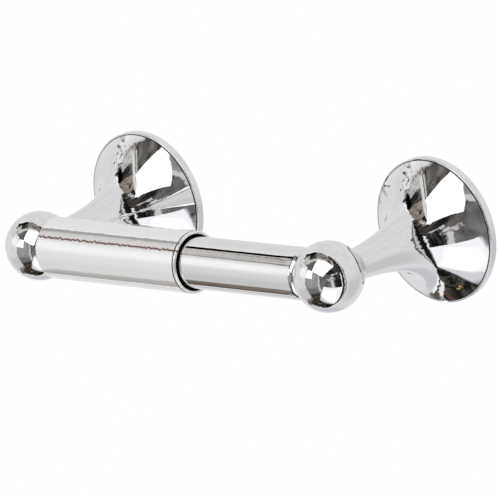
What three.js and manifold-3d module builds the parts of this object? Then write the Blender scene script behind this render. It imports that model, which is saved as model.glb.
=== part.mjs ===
// Chrome toilet paper holder: two flared wall posts that end in balls, and a spring-loaded
// telescopic roller held between them. Millimetres. The wall is the plane Y = 0 and the room
// is towards -Y. +X is to the right of someone facing the wall, and +Z is up. The origin is
// on the wall, midway between the posts.

import * as THREE from 'three';
import { mergeVertices } from 'three/addons/utils/BufferGeometryUtils.js';
import Module from 'manifold-3d';

// Layout
const POST_SPACING = 153;
const REACH = 63;

// Post casting: rim band, trumpet flare, neck and ball. The flare is an exponential that
// would shrink to FLARE_CORE far from the wall, by a factor e in each FLARE_LENGTH.
const RIM_RADIUS = 28.5;
const RIM_HEIGHT = 3.5;
const RIM_BEVEL = 0.9;
const FLARE_CORE = 5.4;
const FLARE_LENGTH = 12.9;
const NECK_FILLET = 4;
const BALL_RADIUS = 13.5;
const BALL_FLAT = 8.5;
const SOCKET_RADIUS = 5;
const SOCKET_DEPTH = 6;

// Hollow back of the casting, and the lugs inside it
const CAVITY_RADIUS = 26;
const CAVITY_DEPTH = 22;
const WALL_SHIFT = 2.6;
const WALL_INSET = 1;
const LUG_WIDTH = 8;
const LUG_FRONT = 6.5;
const BOSS_START = 19.5;
const RIB_START = 17.4;
const RIB_FRONT = 3.2;
const LUG_BACK = 0.6;

// Wall bracket: a pressed steel strip with its two ends bent forwards at 45 degrees
const BRACKET_THICKNESS = 1.6;
const BRACKET_WIDTH = 14;
const BRACKET_BEND = 13.7;
const BRACKET_END = 17.6;
const HOLE_OFFSET = 9.5;
const HOLE_RADIUS = 2.2;

// Fasteners
const SET_SCREW_RADIUS = 1.5;
const SET_SCREW_DEPTH = 3;
const SET_SCREW_OUTER = 25.5;
const SET_SCREW_TIP = 17.3;
const HEX_KEY_FLATS = 1.5;
const WALL_SCREW_RADIUS = 1.75;
const WALL_SCREW_LENGTH = 17;
const WALL_SCREW_HEAD = 3.6;
const WALL_SCREW_HEAD_HEIGHT = 2.4;
const RECESS_WIDTH = 0.9;
const RECESS_DEPTH = 1.2;
const ANCHOR_RADIUS = 3.1;
const ANCHOR_TIP_RADIUS = 2.7;
const ANCHOR_BORE = 2.1;
const ANCHOR_LENGTH = 19;
const ANCHOR_COLLAR = 3.6;
const ANCHOR_COLLAR_END = 1.2;
const ANCHOR_SLIT = 0.8;
const ANCHOR_RIBS = 3;

// Roller
const OUTER_RADIUS = 12;
const OUTER_WALL = 1.2;
const OUTER_MOUTH = 8;
const OUTER_EDGE = 1.2;
const RIDGE_RADIUS = 10.35;
const RIDGE_PLACE = -4;
const RIDGE_WIDTH = 1.4;
const INNER_RADIUS = 10;
const INNER_WALL = 1;
const INNER_EDGE = 2.5;
const INNER_START = -14;
const TUBE_END = 67.4;
const PIN_RADIUS = 4.2;
const PIN_HOLE = 4.6;
const PIN_END = 73;
const PIN_ROUND = 1.5;
const PLUG_LENGTH = 8;
const COLLAR_LENGTH = 3.7;
const SPIGOT_RADIUS = 5.2;
const SPIGOT_LENGTH = 4;
const SPRING_RADIUS = 6.9;
const WIRE_RADIUS = 0.65;
const SPRING_TURNS = 9;
const SPRING_CLOSING = 0.6;

// Gap between pieces that touch on the real thing
const FIT = 0.3;

const wasm = await Module();
wasm.setup();

// Materials

const finish = (name, color, metalness, roughness) => {
  const material = new THREE.MeshStandardMaterial({ color, metalness, roughness });
  material.name = name;
  return material;
};

const castChrome = finish('cast_chrome', 0xdcdee0, 1, 0.04);
const tubeChrome = finish('tube_chrome', 0xe2e4e4, 1, 0.12);
const zincSteel = finish('zinc_steel', 0xb4b6b4, 1, 0.35);
const springSteel = finish('spring_steel', 0x8c8e90, 1, 0.3);
const blackSteel = finish('black_steel', 0x2a2a2c, 0.9, 0.4);
const pinMetal = finish('pin_metal', 0xccced0, 1, 0.2);
const anchorPlastic = finish('anchor_plastic', 0xd6d2c4, 0, 0.5);

// Solids: a geometry with its shared vertices merged becomes a manifold, and back

const weld = (geometry) => {
  const bare = geometry.clone();
  bare.deleteAttribute('normal');
  bare.deleteAttribute('uv');
  return mergeVertices(bare, 1e-4);
};

const solid = (geometry) => {
  const welded = weld(geometry);
  const index = Array.from(welded.index.array);
  const kept = [];
  for (let i = 0; i < index.length; i += 3) {
    const [a, b, c] = index.slice(i, i + 3);
    if (a !== b && b !== c && c !== a) kept.push(a, b, c);
  }
  return new wasm.Manifold(new wasm.Mesh({
    numProp: 3,
    vertProperties: new Float32Array(welded.attributes.position.array),
    triVerts: new Uint32Array(kept),
  }));
};

const geometryOf = (manifold) => {
  const mesh = manifold.getMesh();
  const geometry = new THREE.BufferGeometry();
  geometry.setAttribute('position', new THREE.BufferAttribute(mesh.vertProperties, 3));
  geometry.setIndex(new THREE.BufferAttribute(mesh.triVerts, 1));
  geometry.computeVertexNormals();
  return geometry;
};

const box = (size, centre) => {
  const geometry = new THREE.BoxGeometry(...size);
  geometry.translate(...centre);
  return solid(geometry);
};

const rod = (radius, length, sides, turn, centre) => {
  const geometry = new THREE.CylinderGeometry(radius, radius, length, sides);
  turn(geometry);
  geometry.translate(...centre);
  return solid(geometry);
};

const alongX = (geometry) => geometry.rotateZ(-Math.PI / 2);
const alongZ = (geometry) => geometry.rotateX(Math.PI / 2);
const alongY = (geometry) => geometry;

// Profiles: [radius, height] points for a lathe that turns about +Y

const arc = (radius, height, size, from, to, steps) => {
  const points = [];
  for (let i = 0; i <= steps; i += 1) {
    const angle = from + ((to - from) * i) / steps;
    points.push([radius + size * Math.cos(angle), height + size * Math.sin(angle)]);
  }
  return points;
};

const revolve = (points, sides) => solid(new THREE.LatheGeometry(
  points.map(([radius, height]) => new THREE.Vector2(radius, height)),
  sides,
));

const closed = (points) => [...points, points[0]];

const named = (name, manifold, material) => {
  const mesh = new THREE.Mesh(geometryOf(manifold), material.clone());
  mesh.name = name;
  return mesh;
};

// Post casting. Depth is the distance from the wall, so the height on the lathe is -depth.

const flareRadius = (depth) => {
  const reach = Math.exp((RIM_HEIGHT - depth) / FLARE_LENGTH);
  return FLARE_CORE + (RIM_RADIUS - RIM_BEVEL - FLARE_CORE) * reach;
};

const flareSlope = (depth) => (FLARE_CORE - flareRadius(depth)) / FLARE_LENGTH;

// Centre of the fillet that leaves the flare at this depth, as [radius, depth]
const filletCentre = (depth) => {
  const slope = flareSlope(depth);
  const across = NECK_FILLET / Math.hypot(1, slope);
  return [flareRadius(depth) + across, depth - slope * across];
};

// Depth at which the fillet also touches the ball, by halving the interval
const filletStart = () => {
  let near = RIM_HEIGHT;
  let far = REACH - BALL_RADIUS;
  while (far - near > 1e-6) {
    const middle = (near + far) / 2;
    const [radius, depth] = filletCentre(middle);
    const clear = Math.hypot(radius, REACH - depth) > BALL_RADIUS + NECK_FILLET;
    if (clear) near = middle;
    else far = middle;
  }
  return near;
};

const postProfile = () => {
  const start = filletStart();
  const [centreRadius, centreDepth] = filletCentre(start);
  const touch = Math.atan2(REACH - centreDepth, centreRadius);
  const leave = Math.atan2(centreDepth - start, flareRadius(start) - centreRadius);
  const ball = arc(0, -REACH, BALL_RADIUS, -Math.PI / 2, touch, 12);
  ball[0][0] = 0;
  const fillet = arc(
    centreRadius, -centreDepth, NECK_FILLET, touch + Math.PI, leave + 2 * Math.PI * (leave < 0), 4,
  );
  const flare = [];
  const steps = 14;
  for (let i = 1; i <= steps; i += 1) {
    const depth = start + ((RIM_HEIGHT - start) * i) / steps;
    flare.push([flareRadius(depth), -depth]);
  }
  const rim = [[RIM_RADIUS, RIM_BEVEL - RIM_HEIGHT], [RIM_RADIUS, 0], [0, 0]];
  return [...ball, ...fillet.slice(1), ...flare, ...rim];
};

// The cavity follows the flare a little further from the wall, and stands past the wall
const cavityProfile = () => {
  const profile = [[0, -CAVITY_DEPTH]];
  const steps = 8;
  for (let i = 0; i <= steps; i += 1) {
    const depth = CAVITY_DEPTH * (1 - i / steps);
    const radius = flareRadius(depth + WALL_SHIFT) - WALL_INSET;
    profile.push([Math.min(CAVITY_RADIUS, radius), -depth]);
  }
  return [...profile, [CAVITY_RADIUS, 1], [0, 1]];
};

// inward is +1 on the left post and -1 on the right: the side on which the roller is
const post = (inward) => {
  const outer = revolve(postProfile(), 40);
  const cavity = revolve(cavityProfile(), 32);
  const boss = box(
    [LUG_WIDTH, LUG_FRONT - LUG_BACK, RIM_RADIUS - BOSS_START],
    [0, -(LUG_FRONT + LUG_BACK) / 2, -(RIM_RADIUS + BOSS_START) / 2],
  );
  const rib = box(
    [LUG_WIDTH, RIB_FRONT - LUG_BACK, RIM_RADIUS - RIB_START],
    [0, -(RIB_FRONT + LUG_BACK) / 2, (RIM_RADIUS + RIB_START) / 2],
  );
  const flat = box(
    [2 * BALL_RADIUS, 2 * BALL_RADIUS + 1, 2 * BALL_RADIUS + 1],
    [inward * (BALL_FLAT + BALL_RADIUS), -REACH, 0],
  );
  const socket = rod(
    SOCKET_RADIUS, 2 * SOCKET_DEPTH, 28, alongX, [inward * BALL_FLAT, -REACH, 0],
  );
  const screwHole = rod(
    SET_SCREW_RADIUS + FIT, 2 * (RIM_RADIUS - SET_SCREW_TIP), 16, alongZ,
    [0, -SET_SCREW_DEPTH, -RIM_RADIUS],
  );
  return outer
    .subtract(cavity)
    .add(boss.add(rib).intersect(outer))
    .subtract(flat.add(socket).add(screwHole));
};

// Wall bracket: its section in the YZ plane, swept across its width and drilled twice

const bracket = () => {
  const diagonal = BRACKET_THICKNESS * Math.SQRT1_2;
  const rise = BRACKET_END - BRACKET_BEND;
  const inner = BRACKET_BEND - BRACKET_THICKNESS * Math.tan(Math.PI / 8);
  const half = [
    [BRACKET_BEND, 0],
    [BRACKET_END, -rise],
    [BRACKET_END - diagonal, -rise - diagonal],
    [inner, -BRACKET_THICKNESS],
  ];
  const other = half.map(([z, y]) => [-z, y]).reverse();
  const outline = new THREE.Shape([...half, ...other].map(([z, y]) => new THREE.Vector2(z, y)));
  const strip = new THREE.ExtrudeGeometry(outline, { depth: BRACKET_WIDTH, bevelEnabled: false });
  strip.translate(0, 0, -BRACKET_WIDTH / 2);
  strip.rotateY(-Math.PI / 2);
  const drilled = [-HOLE_OFFSET, HOLE_OFFSET].map((z) => (
    rod(HOLE_RADIUS, 4 * BRACKET_THICKNESS, 20, alongY, [0, 0, z])
  ));
  return drilled.reduce((plate, hole) => plate.subtract(hole), solid(strip));
};

// Set screw: a cone-point grub screw with a hexagon socket, its point up

const setScrew = () => {
  const length = SET_SCREW_OUTER - SET_SCREW_TIP;
  const body = revolve([
    [0, -length],
    [SET_SCREW_RADIUS - FIT, -length],
    [SET_SCREW_RADIUS, FIT - length],
    [SET_SCREW_RADIUS, -SET_SCREW_RADIUS],
    [0, 0],
  ], 16);
  const key = rod(HEX_KEY_FLATS / Math.sqrt(3), 4, 6, alongY, [0, -length, 0]);
  return body.subtract(key);
};

// Wall screw: pan head with a cross recess towards -Y, point towards +Y

const wallScrew = () => {
  const body = revolve([
    [0, -WALL_SCREW_HEAD_HEIGHT],
    [WALL_SCREW_HEAD * 0.7, -WALL_SCREW_HEAD_HEIGHT],
    [WALL_SCREW_HEAD * 0.95, -WALL_SCREW_HEAD_HEIGHT * 0.6],
    [WALL_SCREW_HEAD, 0],
    [WALL_SCREW_RADIUS, 0],
    [WALL_SCREW_RADIUS, WALL_SCREW_LENGTH - 2 * WALL_SCREW_RADIUS],
    [0, WALL_SCREW_LENGTH],
  ], 16);
  const slot = [WALL_SCREW_HEAD * 1.1, 2 * RECESS_DEPTH, RECESS_WIDTH];
  const place = [0, -WALL_SCREW_HEAD_HEIGHT, 0];
  return body.subtract(box(slot, place)).subtract(box([...slot].reverse(), place));
};

// Wall anchor: a ribbed plastic sleeve with a collar, slit at its far end to spread

const wallAnchor = () => {
  const ribs = [];
  const pitch = (ANCHOR_LENGTH - ANCHOR_COLLAR_END) / (ANCHOR_RIBS + 1);
  for (let i = 1; i <= ANCHOR_RIBS; i += 1) {
    const height = ANCHOR_COLLAR_END + i * pitch;
    ribs.push([ANCHOR_TIP_RADIUS, height - pitch / 2], [ANCHOR_RADIUS, height]);
  }
  const body = revolve(closed([
    [ANCHOR_BORE, FIT],
    [ANCHOR_COLLAR, FIT],
    [ANCHOR_COLLAR, ANCHOR_COLLAR_END],
    [ANCHOR_TIP_RADIUS, ANCHOR_COLLAR_END],
    ...ribs,
    [ANCHOR_BORE + FIT, ANCHOR_LENGTH],
    [ANCHOR_BORE, ANCHOR_LENGTH],
  ]), 14);
  const slit = [ANCHOR_SLIT, ANCHOR_LENGTH, 3 * ANCHOR_RADIUS];
  return body.subtract(box(slit, [0, 0.9 * ANCHOR_LENGTH, 0]));
};

// Roller pieces: heights along the lathe are places along the roller, from its middle

const outerTube = () => {
  const bore = OUTER_RADIUS - OUTER_WALL;
  const lip = OUTER_WALL / 2;
  return revolve(closed([
    [PIN_HOLE, -TUBE_END],
    ...arc(OUTER_RADIUS - OUTER_EDGE, OUTER_EDGE - TUBE_END, OUTER_EDGE, -Math.PI / 2, 0, 3),
    ...arc(OUTER_RADIUS - lip, OUTER_MOUTH - lip, lip, 0, Math.PI, 4),
    [bore, RIDGE_PLACE + RIDGE_WIDTH],
    [RIDGE_RADIUS, RIDGE_PLACE + RIDGE_WIDTH / 2],
    [RIDGE_RADIUS, RIDGE_PLACE - RIDGE_WIDTH / 2],
    [bore, RIDGE_PLACE - RIDGE_WIDTH],
    [bore, OUTER_WALL - TUBE_END],
    [PIN_HOLE, OUTER_WALL - TUBE_END],
  ]), 40);
};

const innerTube = () => {
  const bore = INNER_RADIUS - INNER_WALL;
  const edge = INNER_EDGE - INNER_WALL;
  const place = TUBE_END - INNER_EDGE;
  return revolve(closed([
    [bore, INNER_START],
    [INNER_RADIUS, INNER_START],
    ...arc(INNER_RADIUS - INNER_EDGE, place, INNER_EDGE, 0, Math.PI / 2, 4),
    [PIN_HOLE, TUBE_END],
    [PIN_HOLE, TUBE_END - INNER_WALL],
    ...arc(INNER_RADIUS - INNER_EDGE, place, edge, Math.PI / 2, 0, 3),
  ]), 40);
};

// Plug that fills a tube's end, with the pin that stands out through the end's hole
const pinPlug = (bore, wall, spigot) => {
  const face = TUBE_END - wall - FIT;
  const back = face - PLUG_LENGTH;
  return [
    [0, back - spigot],
    ...(spigot ? [[SPIGOT_RADIUS, back - spigot], [SPIGOT_RADIUS, back]] : []),
    [bore - FIT, back],
    [bore - FIT, face - INNER_EDGE],
    [bore - FIT - INNER_EDGE, face],
    [PIN_RADIUS, face],
    ...arc(PIN_RADIUS - PIN_ROUND, PIN_END - PIN_ROUND, PIN_ROUND, 0, Math.PI / 2, 4),
    [0, PIN_END],
  ];
};

const guideCollar = () => {
  const seat = INNER_START - FIT - COLLAR_LENGTH;
  const skirt = OUTER_RADIUS - OUTER_WALL - FIT;
  return revolve([
    [0, seat - SPIGOT_LENGTH],
    [SPIGOT_RADIUS, seat - SPIGOT_LENGTH],
    [SPIGOT_RADIUS, seat],
    [skirt, seat],
    [skirt, INNER_START - FIT],
    [INNER_RADIUS - INNER_WALL - FIT, INNER_START - FIT],
    [INNER_RADIUS - INNER_WALL - FIT, INNER_START + PLUG_LENGTH],
    [0, INNER_START + PLUG_LENGTH],
  ], 28);
};

// Coil whose turns lie closer together towards its two ends
class Coil extends THREE.Curve {
  constructor(from, to) {
    super();
    this.from = from;
    this.to = to;
  }

  getPoint(t, target = new THREE.Vector3()) {
    const angle = 2 * Math.PI * SPRING_TURNS * t;
    const eased = t - (SPRING_CLOSING * Math.sin(2 * Math.PI * t)) / (2 * Math.PI);
    return target.set(
      SPRING_RADIUS * Math.cos(angle),
      this.from + (this.to - this.from) * eased,
      SPRING_RADIUS * Math.sin(angle),
    );
  }
}

const spring = () => {
  const back = TUBE_END - OUTER_WALL - FIT - PLUG_LENGTH;
  const seat = INNER_START - FIT - COLLAR_LENGTH;
  const gap = WIRE_RADIUS + FIT;
  const wire = new THREE.Shape().absarc(0, 0, WIRE_RADIUS, 0, 2 * Math.PI);
  return solid(new THREE.ExtrudeGeometry(wire, {
    extrudePath: new Coil(gap - back, seat - gap),
    steps: 11 * SPRING_TURNS,
    curveSegments: 3,
    bevelEnabled: false,
  }));
};

// Assembly

const holder = new THREE.Group();

const side = (label, inward) => {
  const group = new THREE.Group();
  group.position.x = (-inward * POST_SPACING) / 2;
  const grub = named(`set_screw_${label}`, setScrew(), blackSteel);
  grub.rotation.x = Math.PI / 2;
  grub.position.set(0, -SET_SCREW_DEPTH, -SET_SCREW_TIP);
  group.add(
    named(`post_${label}`, post(inward), castChrome),
    named(`bracket_${label}`, bracket(), zincSteel),
    grub,
  );
  for (const [level, z] of [['upper', HOLE_OFFSET], ['lower', -HOLE_OFFSET]]) {
    const screw = named(`wall_screw_${level}_${label}`, wallScrew(), zincSteel);
    screw.position.set(0, -BRACKET_THICKNESS - FIT, z);
    const anchor = named(`wall_anchor_${level}_${label}`, wallAnchor(), anchorPlastic);
    anchor.position.z = z;
    group.add(screw, anchor);
  }
  return group;
};

const roller = () => {
  const group = new THREE.Group();
  group.position.y = -REACH;
  group.rotation.z = -Math.PI / 2;
  const outerBore = OUTER_RADIUS - OUTER_WALL;
  const innerBore = INNER_RADIUS - INNER_WALL;
  const pinLeft = revolve(pinPlug(outerBore, OUTER_WALL, SPIGOT_LENGTH), 28);
  const pinRight = revolve(pinPlug(innerBore, INNER_WALL, 0), 28);
  group.add(
    named('roller_outer_tube', outerTube(), tubeChrome),
    named('roller_inner_tube', innerTube(), tubeChrome),
    named('roller_pin_left', pinLeft.rotate([0, 0, 180]), pinMetal),
    named('roller_pin_right', pinRight, pinMetal),
    named('roller_guide_collar', guideCollar(), anchorPlastic),
    named('roller_spring', spring(), springSteel),
  );
  return group;
};

holder.add(side('left', 1), side('right', -1), roller());

export default holder;
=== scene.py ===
import math

import bpy
from mathutils import Matrix, Vector


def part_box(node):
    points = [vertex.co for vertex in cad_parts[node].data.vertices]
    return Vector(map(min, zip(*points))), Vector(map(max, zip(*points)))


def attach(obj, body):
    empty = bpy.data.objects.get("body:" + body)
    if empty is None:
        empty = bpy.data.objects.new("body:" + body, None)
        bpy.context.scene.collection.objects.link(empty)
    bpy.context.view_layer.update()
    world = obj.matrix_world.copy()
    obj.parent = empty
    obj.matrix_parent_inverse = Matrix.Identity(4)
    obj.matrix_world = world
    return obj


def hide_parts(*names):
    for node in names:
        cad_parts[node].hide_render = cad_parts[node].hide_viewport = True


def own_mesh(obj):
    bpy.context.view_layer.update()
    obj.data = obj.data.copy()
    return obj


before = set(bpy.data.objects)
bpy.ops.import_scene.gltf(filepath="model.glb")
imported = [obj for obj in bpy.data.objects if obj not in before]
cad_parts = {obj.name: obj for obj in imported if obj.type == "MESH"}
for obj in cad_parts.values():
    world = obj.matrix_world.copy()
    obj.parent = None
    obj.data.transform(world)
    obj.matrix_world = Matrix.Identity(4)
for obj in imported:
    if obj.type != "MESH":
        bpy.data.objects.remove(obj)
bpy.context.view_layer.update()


# Post castings: die-cast zinc, one piece from the grooved rim on the wall through the flared
# neck to the ball, hollow at the back, polished and chrome plated. The ball has a flat with a
# socket for the roller's pin, and the set screw comes up through a boss under the rim.

MM = 0.001
RIM_HEIGHT = 3.5 * MM
RIM_BEVEL = 0.9 * MM
GROOVE_WIDTH = 0.6 * MM
GROOVE_DEPTH = 0.3 * MM
FLARE_CORE = 5.4 * MM
FLARE_LENGTH = 12.9 * MM
NECK_FILLET = 4 * MM
BALL_RADIUS = 13.5 * MM
BALL_FLAT = 8.5 * MM
SOCKET_RADIUS = 5 * MM
FLAT_ROUND = 0.35 * MM
FLAT_EASE = 0.12 * MM
SOCKET_DEPTH = 6 * MM
SOCKET_ROUND = 0.6 * MM
CAVITY_RADIUS = 26 * MM
CAVITY_DEPTH = 22 * MM
WALL_SHIFT = 2.6 * MM
WALL_INSET = 1 * MM
SET_SCREW_DEPTH = 3 * MM
SCREW_HOLE_RADIUS = 1.8 * MM
SCREW_HOLE_FOOT = -31 * MM
SCREW_HOLE_HEAD = -16 * MM
BOSS_HALF_WIDTH = 4 * MM
BOSS_FRONT = -6.5 * MM
BOSS_BACK = -0.6 * MM
BOSS_FOOT = -24 * MM
BOSS_HEAD = -19.5 * MM
BOSS_DROP = 3 * MM
BOSS_LIFT = 2.4 * MM
RIB_FRONT = -3.2 * MM
RIB_LOW = 17.4 * MM
RIB_HIGH = 25 * MM

AXES = {"X": Vector((1, 0, 0)), "Y": Vector((0, 1, 0)), "Z": Vector((0, 0, 1))}
RING_TILT = {"X": (0, math.pi / 2, 0), "Y": (-math.pi / 2, 0, 0), "Z": (0, 0, 0)}

post_low, post_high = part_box("post_right")
post_place = (post_low.x + post_high.x) / 2
rim_radius = (post_high.z - post_low.z) / 2
roller_depth = -post_low.y - BALL_RADIUS


def choose(test, kind="vertices"):
    """In edit mode, selects the mesh parts of one kind whose middle passes the test."""
    bpy.ops.mesh.select_mode(type={"vertices": "VERT", "edges": "EDGE", "polygons": "FACE"}[kind])
    bpy.ops.mesh.select_all(action="DESELECT")
    bpy.ops.object.mode_set(mode="OBJECT")
    mesh = bpy.context.object.data
    for part in getattr(mesh, kind):
        if kind == "vertices":
            middle = part.co
        elif kind == "polygons":
            middle = part.center
        else:
            first, last = part.vertices
            middle = (mesh.vertices[first].co + mesh.vertices[last].co) / 2
        part.select = test(middle)
    bpy.ops.object.mode_set(mode="EDIT")


def pick(piece):
    """Makes the piece the only one selected, and the active one."""
    bpy.ops.object.select_all(action="DESELECT")
    piece.select_set(True)
    bpy.context.view_layer.objects.active = piece


def turned(name, axis, centre, rows, sides=128):
    """A turned shape: a ring drawn out along the axis and resized, row by row. A row is
    (radius, place along the axis). A first or last row of radius 0 closes in a point, and a
    last row equal to the first joins the shape into a ring."""
    along = AXES[axis]
    centre = Vector(centre)
    pointed = rows[0][0] == 0
    rings = rows[1:] if pointed else rows
    radius, place = rings[0]
    bpy.ops.object.select_all(action="DESELECT")
    bpy.ops.mesh.primitive_circle_add(
        vertices=sides, radius=radius, fill_type="TRIFAN" if pointed else "NOTHING",
        location=centre + along * place, rotation=RING_TILT[axis],
    )
    piece = bpy.context.object
    piece.name = name
    bpy.ops.object.transform_apply(location=True, rotation=True, scale=True)
    bpy.ops.object.mode_set(mode="EDIT")
    bpy.ops.mesh.select_mode(type="VERT")
    hub = centre + along * place
    if pointed:
        choose(lambda co: (co - hub).length < radius / 2)
        bpy.ops.transform.translate(value=along * (rows[0][1] - place))
        choose(lambda co: abs((co - hub).dot(along)) < radius / 1000)
    else:
        bpy.ops.mesh.select_all(action="SELECT")
    for next_radius, next_place in rings[1:]:
        step = along * (next_place - place)
        bpy.ops.mesh.extrude_region_move(TRANSFORM_OT_translate={"value": step})
        if next_radius == 0:
            bpy.ops.mesh.merge(type="CENTER")
            break
        growth = next_radius / radius
        factors = [growth + (1 - growth) * abs(part) for part in along]
        bpy.ops.transform.resize(value=factors, center_override=centre + along * next_place)
        radius, place = next_radius, next_place
    bpy.ops.mesh.select_all(action="SELECT")
    bpy.ops.mesh.remove_doubles(threshold=0.002 * MM)
    bpy.ops.mesh.normals_make_consistent(inside=False)
    bpy.ops.object.mode_set(mode="OBJECT")
    return piece


def arc(radius, place, size, start, stop, steps):
    """Rows round a quarter or any other part of a circle, its angles in degrees."""
    angles = [math.radians(start + (stop - start) * i / steps) for i in range(steps + 1)]
    return [(radius + size * math.cos(a), place + size * math.sin(a)) for a in angles]


def coat(piece, material, test):
    """Gives a second material to the faces of the piece whose middle passes the test."""
    pick(piece)
    piece.data.materials.append(material)
    piece.active_material_index = len(piece.data.materials) - 1
    bpy.ops.object.mode_set(mode="EDIT")
    choose(test, "polygons")
    bpy.ops.object.material_slot_assign()
    bpy.ops.object.mode_set(mode="OBJECT")


def combine(piece, tool, operation):
    """Joins a tool to the piece or cuts it away, and throws the tool away."""
    pick(piece)
    bpy.ops.object.modifier_add(type="BOOLEAN")
    modifier = piece.modifiers[-1]
    modifier.operation = operation
    modifier.object = tool
    modifier.solver = "EXACT"
    bpy.ops.object.modifier_apply(modifier=modifier.name)
    bpy.data.objects.remove(tool)


def smooth(piece, angle=28):
    pick(piece)
    bpy.ops.object.shade_smooth_by_angle(angle=math.radians(angle))


def block(low, high, bevel=0.3 * MM):
    """A rounded block between two corners."""
    low, high = Vector(low), Vector(high)
    bpy.ops.object.select_all(action="DESELECT")
    bpy.ops.mesh.primitive_cube_add(size=1, location=(low + high) / 2)
    piece = bpy.context.object
    piece.scale = high - low
    bpy.ops.object.transform_apply(location=True, rotation=True, scale=True)
    bpy.ops.object.mode_set(mode="EDIT")
    bpy.ops.mesh.select_all(action="SELECT")
    bpy.ops.mesh.bevel(offset=bevel, segments=3, affect="EDGES")
    bpy.ops.object.mode_set(mode="OBJECT")
    return piece


def flare_radius(depth):
    reach = math.exp((RIM_HEIGHT - depth) / FLARE_LENGTH)
    return FLARE_CORE + (rim_radius - RIM_BEVEL - FLARE_CORE) * reach


def fillet_centre(depth):
    """Centre (radius, depth) of the fillet that leaves the flare at this depth."""
    slope = (FLARE_CORE - flare_radius(depth)) / FLARE_LENGTH
    across = NECK_FILLET / math.hypot(1, slope)
    return flare_radius(depth) + across, depth - slope * across


def fillet_start():
    """Depth at which the fillet also touches the ball, by halving the interval."""
    near, far = RIM_HEIGHT, roller_depth - BALL_RADIUS
    while far - near > 1e-7:
        middle = (near + far) / 2
        radius, depth = fillet_centre(middle)
        if math.hypot(radius, roller_depth - depth) > BALL_RADIUS + NECK_FILLET:
            near = middle
        else:
            far = middle
    return near


def post_rows():
    """The casting's section, from the ball's tip over the flare and rim into the hollow back."""
    start = fillet_start()
    radius, depth = fillet_centre(start)
    touch = math.degrees(math.atan2(roller_depth - depth, radius))
    leave = math.degrees(math.atan2(depth - start, flare_radius(start) - radius))
    ball = arc(0, -roller_depth, BALL_RADIUS, -90, touch, 44)
    fillet = arc(radius, -depth, NECK_FILLET, touch + 180, leave % 360, 8)
    steps = 64
    depths = [start + (RIM_HEIGHT - start) * i / steps for i in range(1, steps)]
    flare = [(flare_radius(d), -d) for d in depths]
    shoulder = rim_radius - RIM_BEVEL
    bank = 0.06 * MM
    groove_floor = GROOVE_DEPTH - RIM_HEIGHT
    crown = RIM_BEVEL - GROOVE_WIDTH
    edge = [(shoulder, -RIM_HEIGHT), (shoulder + bank, groove_floor),
            (shoulder + GROOVE_WIDTH / 2, groove_floor),
            (shoulder + GROOVE_WIDTH - bank, groove_floor),
            *arc(rim_radius - crown, 2 * crown / 3 + crown - RIM_HEIGHT, crown, -90, 0, 5)]
    foot = 0.3 * MM
    rim = arc(rim_radius - foot, -foot, foot, 0, 90, 4)
    lip = arc(CAVITY_RADIUS + foot, -foot, foot, 90, 180, 4)
    steps = 28
    depths = [CAVITY_DEPTH * i / steps for i in range(2, steps + 1)]
    hollow = [(min(CAVITY_RADIUS, flare_radius(d + WALL_SHIFT) - WALL_INSET), -d) for d in depths]
    return [(0, ball[0][1]), *ball[1:], *fillet[1:], *flare, *edge, *rim, *lip, *hollow,
            (0, -CAVITY_DEPTH)]


def post_piece(side, place, inward):
    piece = turned("post_casting_" + side, "Y", (place, 0, 0), post_rows())
    wide = 2 * BALL_RADIUS
    flat_radius = math.sqrt(BALL_RADIUS ** 2 - BALL_FLAT ** 2)
    socket_floor = BALL_FLAT - SOCKET_DEPTH
    section = [
        (0, socket_floor), (SOCKET_RADIUS - SOCKET_ROUND, socket_floor),
        (SOCKET_RADIUS, socket_floor + SOCKET_ROUND),
        (SOCKET_RADIUS, BALL_FLAT - FLAT_ROUND), (SOCKET_RADIUS + FLAT_ROUND, BALL_FLAT),
        (flat_radius - FLAT_ROUND, BALL_FLAT), (flat_radius, BALL_FLAT - FLAT_EASE),
        (flat_radius + FLAT_ROUND, BALL_FLAT - FLAT_ROUND), (wide, BALL_FLAT - 2 * FLAT_ROUND),
        (wide, wide), (0, wide),
    ]
    section = [(radius, inward * reach) for radius, reach in section]
    cutter = turned("socket_cutter", "X", (place, -roller_depth, 0), section)
    combine(piece, cutter, "DIFFERENCE")

    boss = block((place - BOSS_HALF_WIDTH, BOSS_FRONT, BOSS_FOOT),
                 (place + BOSS_HALF_WIDTH, BOSS_BACK, BOSS_HEAD))
    foot_line, middle_line = -23 * MM, -3 * MM
    pick(boss)
    bpy.ops.object.mode_set(mode="EDIT")
    choose(lambda co: co.z < foot_line and co.y > middle_line)
    bpy.ops.transform.translate(value=(0, 0, -BOSS_DROP))
    choose(lambda co: co.z < foot_line and co.y < middle_line)
    bpy.ops.transform.translate(value=(0, 0, BOSS_LIFT))
    bpy.ops.object.mode_set(mode="OBJECT")
    combine(piece, boss, "UNION")
    rib = block((place - BOSS_HALF_WIDTH, RIB_FRONT, RIB_LOW),
                (place + BOSS_HALF_WIDTH, BOSS_BACK, RIB_HIGH))
    combine(piece, rib, "UNION")
    hole = turned("hole_cutter", "Z", (place, -SET_SCREW_DEPTH, 0), [
        (0, SCREW_HOLE_FOOT), (SCREW_HOLE_RADIUS, SCREW_HOLE_FOOT),
        (SCREW_HOLE_RADIUS, SCREW_HOLE_HEAD), (0, SCREW_HOLE_HEAD),
    ], 48)
    combine(piece, hole, "DIFFERENCE")
    smooth(piece)
    return piece


def shader_group(name, inputs, outputs):
    """An empty shader group with float or vector sockets, and its two end nodes."""
    group = bpy.data.node_groups.new(name, "ShaderNodeTree")
    for label, kind, default in inputs:
        socket = group.interface.new_socket(label, in_out="INPUT", socket_type=kind)
        socket.default_value = default
    for label, kind in outputs:
        group.interface.new_socket(label, in_out="OUTPUT", socket_type=kind)
    nodes = group.nodes
    return group, nodes.new("NodeGroupInput"), nodes.new("NodeGroupOutput")


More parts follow.
